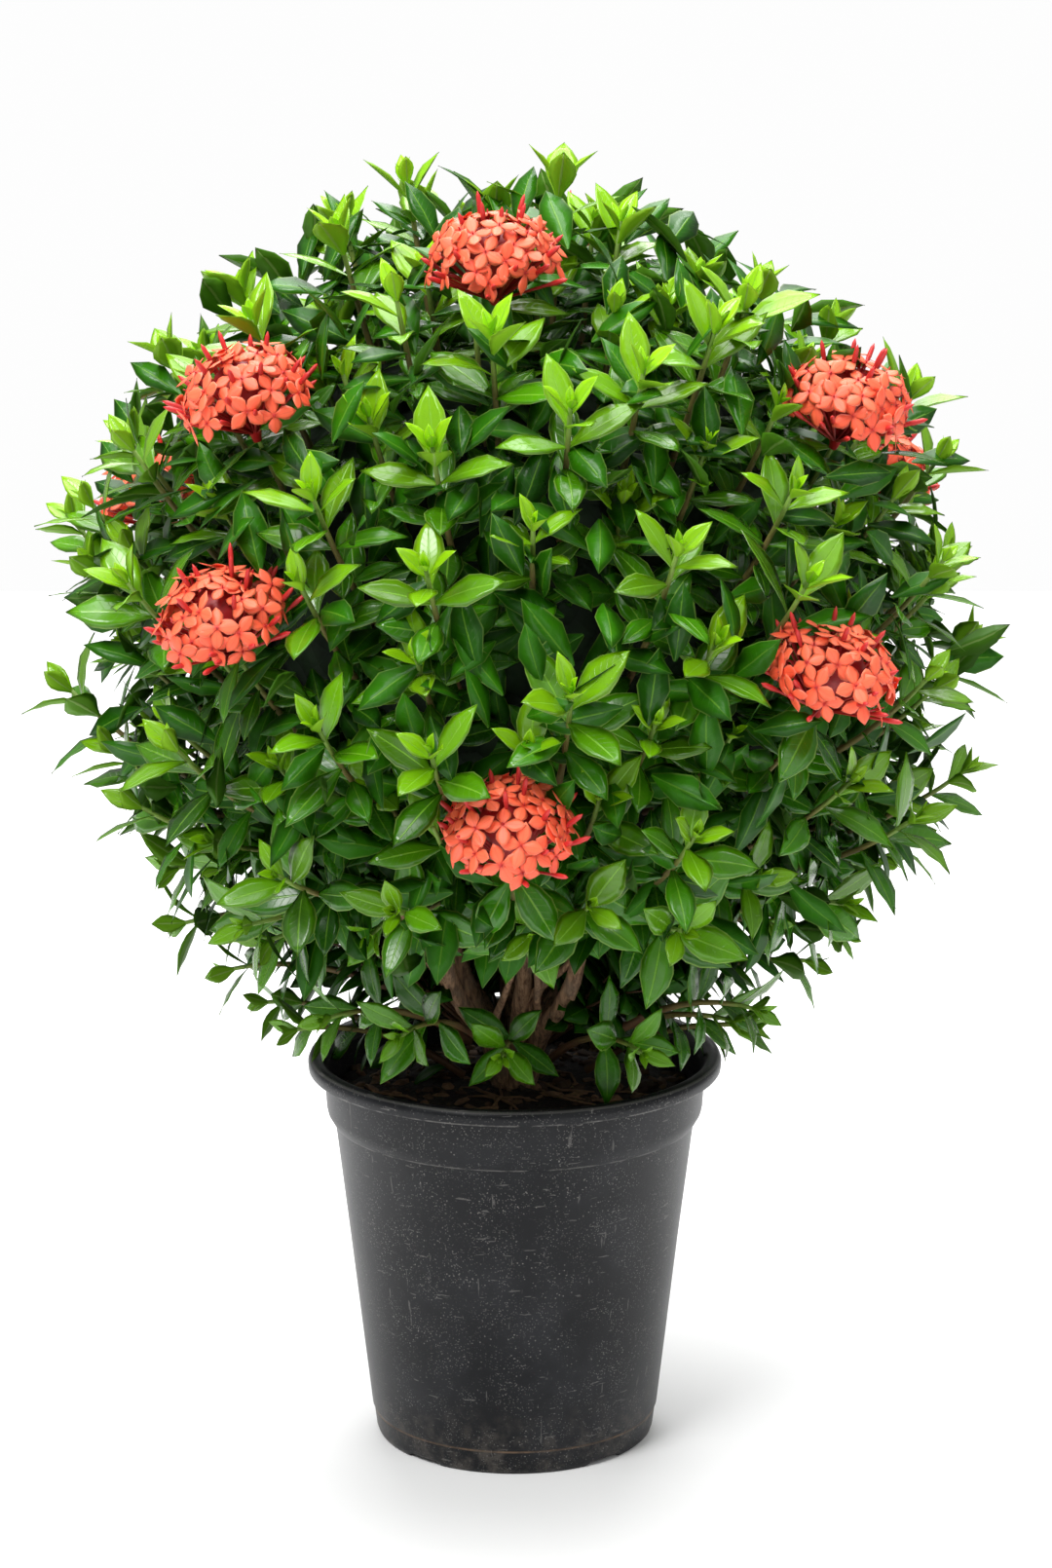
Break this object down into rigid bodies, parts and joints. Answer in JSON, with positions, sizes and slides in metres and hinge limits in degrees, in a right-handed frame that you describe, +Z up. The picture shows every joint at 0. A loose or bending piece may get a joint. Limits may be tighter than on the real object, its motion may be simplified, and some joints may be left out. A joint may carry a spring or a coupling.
{
  "type": "potted ixora",
  "caption": "Round evergreen ixora bush with domed coral flower heads, grown in a tapered black plastic nursery pot.",
  "frame": {"origin": "on the ground under the pot's centre", "axes": "+Z up; -Y is the side seen in the picture; +X is that side's right"},
  "size_m": [0.6638, 0.6475, 0.883],
  "materials": {
    "black_plastic": "moulded, lightly scuffed",
    "potting_mix": "dark, crumbly",
    "bark": "fine bark",
    "leaf": "glossy leaf",
    "inner_leaf": "glossy leaf in shade",
    "petal": "soft petal"
  },
  "bodies": {
    "root": {"pot": "black_plastic", "soil": "potting_mix", "woody_stems": "bark", "inner_foliage": "inner_leaf", "flower_head_01": "petal", "flower_head_02": "petal", "flower_head_03": "petal", "flower_head_04": "petal", "flower_head_05": "petal", "flower_head_06": "petal", "flower_head_07": "petal", "flower_head_08": "petal", "flower_head_09": "petal", "flower_head_10": "petal", "flowering_stem_01": "leaf", "flowering_stem_02": "leaf", "flowering_stem_03": "leaf", "flowering_stem_04": "leaf", "flowering_stem_05": "leaf", "flowering_stem_06": "leaf", "flowering_stem_07": "leaf", "flowering_stem_08": "leaf", "flowering_stem_09": "leaf", "flowering_stem_10": "leaf", "leafy_shoot_01": "leaf", "leafy_shoot_02": "leaf", "leafy_shoot_03": "leaf", "leafy_shoot_04": "leaf", "leafy_shoot_05": "leaf", "leafy_shoot_06": "leaf", "leafy_shoot_07": "leaf", "leafy_shoot_08": "leaf", "leafy_shoot_09": "leaf", "leafy_shoot_10": "leaf", "leafy_shoot_11": "leaf", "leafy_shoot_12": "leaf", "leafy_shoot_13": "leaf", "leafy_shoot_14": "leaf", "leafy_shoot_15": "leaf", "leafy_shoot_16": "leaf", "leafy_shoot_17": "leaf", "leafy_shoot_18": "leaf", "leafy_shoot_19": "leaf", "leafy_shoot_20": "leaf", "leafy_shoot_21": "leaf", "leafy_shoot_22": "leaf", "leafy_shoot_23": "leaf", "leafy_shoot_24": "leaf", "leafy_shoot_25": "leaf", "leafy_shoot_26": "leaf", "leafy_shoot_27": "leaf", "leafy_shoot_28": "leaf", "leafy_shoot_29": "leaf", "leafy_shoot_30": "leaf", "leafy_shoot_31": "leaf", "leafy_shoot_32": "leaf", "leafy_shoot_33": "leaf", "leafy_shoot_34": "leaf", "leafy_shoot_35": "leaf"}
  },
  "joints": []
}
